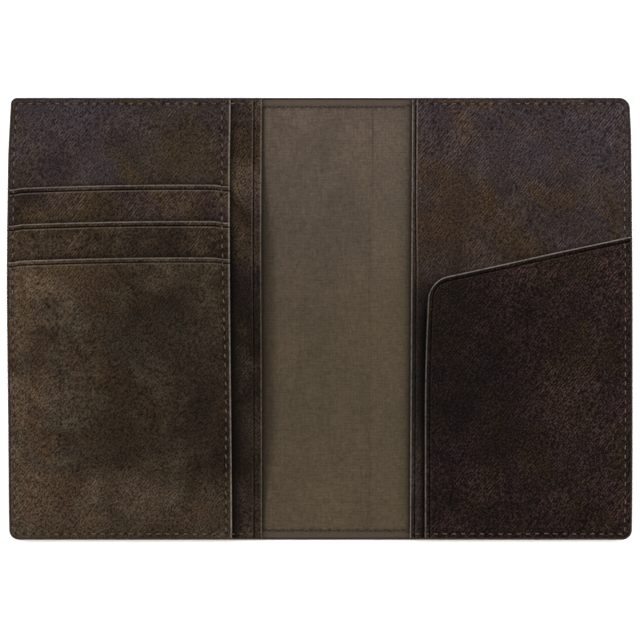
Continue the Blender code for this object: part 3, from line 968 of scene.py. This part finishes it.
def build_edge_paint(side, surface, finish):
    """The painted edge: a round-shouldered band that closes the sides of the layers and laps onto them."""
    name = SIDE_NAMES[side]
    points, outward = outline_path(side, 0.0, FINE)
    probe = points - outward * 0.95
    probe_x, probe_y = natural(probe[:, 0], probe[:, 1])
    tops = np.array([surface.top(px, py) for px, py in zip(probe_x, probe_y)])
    tops = np.convolve(np.pad(tops, 1, mode="edge"), [0.25, 0.5, 0.25], mode="valid")
    rings = []
    for (px, py), (ox, oy), top in zip(points, outward, tops):
        section = [(0.50, 0.03), (0.22, 0.02), (0.07, 0.10), (0.0, 0.32), (-0.06, top * 0.5),
                   (0.0, top - 0.34), (0.06, top - 0.12), (0.20, top + 0.02), (0.36, top + 0.05),
                   (0.55, top + 0.03), (0.66, top - 0.02), (0.50, top - 0.16)]
        for inward, z in section:
            rings.append((*natural(px - ox * inward, py - oy * inward), z))
    rows = len(points)
    index = np.arange(len(rings)).reshape(rows, -1)
    a, b = index[:-1], index[1:]
    quads = np.stack([a, b, np.roll(b, -1, 1), np.roll(a, -1, 1)], -1).reshape(-1, 4)
    if side < 0:
        quads = quads[:, ::-1]
    faces = quads.tolist() + [index[0].tolist()[:: side], index[-1].tolist()[:: -side]]
    crest = np.tile([0, 0, 0.2, 0.2, 0.2, 0.3, 0.8, 1.0, 0.6, 0.2, 0, 0], rows)
    mesh = mesh_from(f"painted_edge_{name}", np.array(rings), faces, crest, np.zeros(len(rings)))
    made = link(mesh.name, mesh, finish)
    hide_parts(f"edge_paint_{name}", "edge_paint_spine_top", "edge_paint_spine_bottom")
    return made


def stitch(start, end, height_at, facing):
    """One stitch as a two-ply cord: an arched run between two holes, whose ends dive into the layer."""
    rings, sides = 9, 8
    radius = STITCH_RADIUS if facing > 0 else OUTSIDE_STITCH_RADIUS
    run = end - start
    along = run / np.linalg.norm(run)
    normal = np.array([-along[1], along[0]])
    points = []
    for i in range(rings):
        t = i / (rings - 1)
        centre = start + run * t
        arch = math.sin(math.pi * t) ** 0.45
        z = height_at(*centre) + facing * (0.11 * arch - 0.34 * (1 - arch))
        taper = radius * (0.55 + 0.45 * arch)
        for k in range(sides):
            angle = 2 * math.pi * k / sides
            ply = 1 + 0.13 * math.cos(2 * angle + 7.5 * t * math.pi)
            flat = normal * math.cos(angle) * taper * ply * 1.12
            points.append((centre[0] + flat[0], centre[1] + flat[1], z + math.sin(angle) * taper * ply * 0.8))
    index = np.arange(rings * sides).reshape(rings, sides)
    a, b = index[:-1], index[1:]
    quads = np.stack([a, np.roll(a, -1, 1), np.roll(b, -1, 1), b], -1).reshape(-1, 4)
    return np.array(points), quads.tolist() + [index[0][::-1].tolist(), index[-1].tolist()]


def stitches(name, runs, finish):
    """Many stitches as one piece. A run is (start, end, height function, facing), and facing 1 is up."""
    points, faces, dark = [], [], []
    count = 0
    for start, end, height_at, facing in runs:
        some, quads = stitch(start, end, height_at, facing)
        points.append(some)
        faces += [[v + count for v in face] for face in quads]
        count += len(some)
        on_lining = facing > 0 and LEFT_FLAP_EDGE < (start[0] + end[0]) / 2 < RIGHT_FLAP_EDGE
        dark.append(np.full(len(some), float(on_lining)))
    mesh = mesh_from(name, np.concatenate(points), faces, np.concatenate(dark))
    return link(name, mesh, finish)


def seam_holes(side):
    """The perimeter seam's needle holes round one cover, from x = 0 at the bottom to x = 0 at the top."""
    edge_x, edge_y, pitch_x, pitch_y = seam_layout(side)
    across = [side * pitch_x * i for i in range(round(edge_x / pitch_x))]
    margins = [HALF_HEIGHT - float(seam_margin(np.array(x))) for x in across]
    up = [(side * edge_x, -edge_y + pitch_y * i) for i in range(round(2 * edge_y / pitch_y) + 1)]
    return [(x, -y) for x, y in zip(across, margins)] + up + [(x, y) for x, y in zip(across, margins)][::-1]


def stitch_runs(holes, surface, outside=False, slant=0.0):
    """Stitches between neighbouring holes, a little shorter than the pitch and a little aslant."""
    rng = np.random.default_rng(len(holes))
    runs = []
    for a, b in zip(holes, holes[1:]):
        a, b = (np.array([float(v) for v in natural(np.array(p[0]), np.array(p[1]))]) for p in (a, b))
        along = (b - a) / np.linalg.norm(b - a)
        side = np.array([-along[1], along[0]])
        middle = (a + b) / 2 + side * rng.normal(0, 0.04)
        reach = min(STITCH_LENGTH, np.linalg.norm(b - a) * 0.8) / 2
        tilt = slant + rng.normal(0, 0.035)
        if LEFT_FLAP_EDGE < middle[0] < RIGHT_FLAP_EDGE:
            reach *= rng.uniform(0.45, 1.0)
            tilt += rng.normal(0, 0.25)
        half = (along + side * tilt) * reach
        runs.append((middle - half, middle + half, surface.top, 1))
        if outside:
            runs.append((middle - half, middle + half, lambda x, y: OUTSIDE_STITCH_Z, -1))
    return runs


def build_card_seam(surface, finish):
    count = round(2 * CARD_SEAM_REACH / CARD_PITCH)
    rows = [CARD_PITCH * i - CARD_SEAM_REACH for i in range(count + 1)]
    holes = [(float(card_seam(y)), y) for y in rows]
    made = stitches("card_panel_stitches", stitch_runs(holes, surface, slant=0.16), finish)
    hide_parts("seam_thread_card_panel")
    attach(made, "left_cover")


# --- Putting it together ------------------------------------------------------


def blend_half(piece):
    """Bakes the world transform into the mesh of a skin that runs from the middle of the spine onto one
    cover.
    """
    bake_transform(piece)


def build_camera():
    data = bpy.data.cameras.new("camera")
    data.type = "PERSP"
    data.sensor_width = 36.0
    data.lens = 36.0 * (VIEW_DISTANCE - 4 * MM) / (VIEW_WIDTH * MM)
    data.clip_end = 50.0
    camera = bpy.data.objects.new("camera", data)
    camera.location = (VIEW_CENTRE[0] * MM, VIEW_CENTRE[1] * MM, VIEW_DISTANCE)
    bpy.context.scene.collection.objects.link(camera)
    bpy.context.scene.camera = camera


def soft_light(name, azimuth, elevation, distance, size, energy, color=(1, 1, 1)):
    """A wide light that faces the wallet. Azimuth 0 is at +X and 90 at +Y, in degrees."""
    data = bpy.data.lights.new(name, "AREA")
    data.shape = "RECTANGLE"
    data.size, data.size_y = size
    data.energy = energy
    data.color = color
    light = bpy.data.objects.new(name, data)
    a, e = math.radians(azimuth), math.radians(elevation)
    place = Vector((math.cos(a) * math.cos(e), math.sin(a) * math.cos(e), math.sin(e))) * distance
    light.location = place
    light.rotation_mode = "QUATERNION"
    light.rotation_quaternion = (-place).to_track_quat("-Z", "Y")
    bpy.context.scene.collection.objects.link(light)


# The floor lies a hair below the wallet, so that the two faces never coincide
FLOOR_DROP = -0.00003


def build_studio():
    world = bpy.data.worlds.new("studio")
    world.use_nodes = True
    background = world.node_tree.nodes["Background"]
    background.inputs["Color"].default_value = (1.0, 1.0, 1.0, 1.0)
    background.inputs["Strength"].default_value = 0.36
    bpy.context.scene.world = world
    bpy.context.scene.view_settings.view_transform = "Standard"
    soft_light("left_softbox", 174, 27, 0.5, (0.22, 0.7), 3.5)
    soft_light("right_softbox", 6, 27, 0.5, (0.22, 0.7), 3.4)
    soft_light("far_softbox", 92, 48, 0.55, (0.7, 0.3), 1.7, (0.90, 0.97, 1.12))
    soft_light("near_softbox", 268, 48, 0.55, (0.7, 0.3), 1.3, (1.08, 0.98, 0.84))
    floor_mesh = bpy.data.meshes.new("floor")
    floor_mesh.from_pydata([(-4, -4, 0), (4, -4, 0), (4, 4, 0), (-4, 4, 0)], [], [(0, 1, 2, 3)])
    floor = bpy.data.objects.new("floor", floor_mesh)
    floor.location.z = FLOOR_DROP
    bpy.context.scene.collection.objects.link(floor)
    paper = bpy.data.materials.new("pale_paper")
    paper.use_nodes = True
    shader = paper.node_tree.nodes["Principled BSDF"]
    shader.inputs["Base Color"].default_value = (0.96, 0.96, 0.96, 1.0)
    shader.inputs["Roughness"].default_value = 0.9
    floor_mesh.materials.append(paper)


def build():
    build_camera()
    build_studio()
    tones = {
        "top_left": [(31, 23, 22), (38, 30, 28), (45, 36, 33), (53, 44, 40)],
        "slot": [(28, 20, 14), (38, 28, 20), (45, 34, 25), (55, 44, 33)],
        "low_left": [(44, 33, 24), (56, 44, 32), (65, 53, 40), (76, 63, 49)],
        "top_right": [(38, 29, 27), (47, 37, 34), (54, 44, 41), (63, 52, 48)],
        "pocket": [(33, 22, 19), (39, 26, 24), (45, 31, 28), (52, 37, 34)],
        "outer": [(32, 23, 19), (41, 32, 26), (48, 38, 30), (56, 46, 38)],
        "edge": [(18, 13, 12), (22, 17, 15), (25, 20, 18), (29, 23, 21)],
    }
    olive, rust, umber, moss = (52, 41, 25), (60, 45, 31), (40, 29, 18), (57, 51, 41)
    plum, dark_plum, slate = (46, 34, 38), (38, 27, 28), (48, 41, 44)
    leathers = {
        "outer": leather("leather_outer", tones["outer"], olive, plum, 1.0, 1.0, 0.85),
        "flap_left": leather("leather_flap_left", tones["low_left"], umber, plum, 0.5, 2.0, 0.9),
        "flap_right": leather("leather_flap_right", tones["top_right"], rust, slate, 1.15, 3.0, 0.68,
                              warm_at=(43, 28, 24), cool_at=(80, 60, 34)),
        "back": leather("leather_card_back", tones["top_left"], olive, slate, 0.8, 4.0, 0.70,
                        warm_at=(-44, 52, 20), cool_at=(-84, 62, 26)),
        "top": leather("leather_slot_top", tones["slot"], olive, plum, 1.1, 5.0, 0.74),
        "middle": leather("leather_slot_middle", tones["slot"], umber, olive, 1.1, 6.0, 0.76),
        "front": leather("leather_slot_front", tones["low_left"], rust, moss, 0.5, 7.0, 0.78),
        "slanted": leather("leather_slanted", tones["pocket"], umber, dark_plum, 0.65, 8.0, 1.6),
    }
    lining = cloth("taupe_lining", (75, 64, 53), (65, 56, 48), (50, 42, 6), (64, 53, 46))
    paint = leather("edge_paint", tones["edge"], (25, 19, 15), (24, 20, 19), 0.0, 9.0, 0.7, (62, 53, 48))
    thread = thread_finish()
    for name in SIDE_NAMES.values():
        board = frame["nodes"][f"stiffener_board_{name}"]
        board.data.materials.clear()
        board.data.materials.append(board_finish())

    skins = {side: [build_outer(side, leathers["outer"]), build_lining(side, lining)] for side in (-1, 1)}
    left = build_flap(-1, leathers["flap_left"], lining) + build_card_panel(leathers, lining)
    right = build_flap(1, leathers["flap_right"], lining) + [build_slanted_pocket(leathers["slanted"])]
    for side, pieces in ((-1, left), (1, right)):
        name = SIDE_NAMES[side]
        for piece in pieces:
            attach(piece, f"{name}_cover")
        surface = Surface([skins[side][1]] + pieces)
        edge = build_edge_paint(side, surface, paint)
        sewn = stitches(f"seam_stitches_{name}", stitch_runs(seam_holes(side), surface, outside=True), thread)
        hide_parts(f"seam_thread_{name}", "seam_thread_spine_top", "seam_thread_spine_bottom")
        for piece in skins[side] + [edge, sewn]:
            blend_half(piece)
        if side < 0:
            build_card_seam(surface, thread)


build()
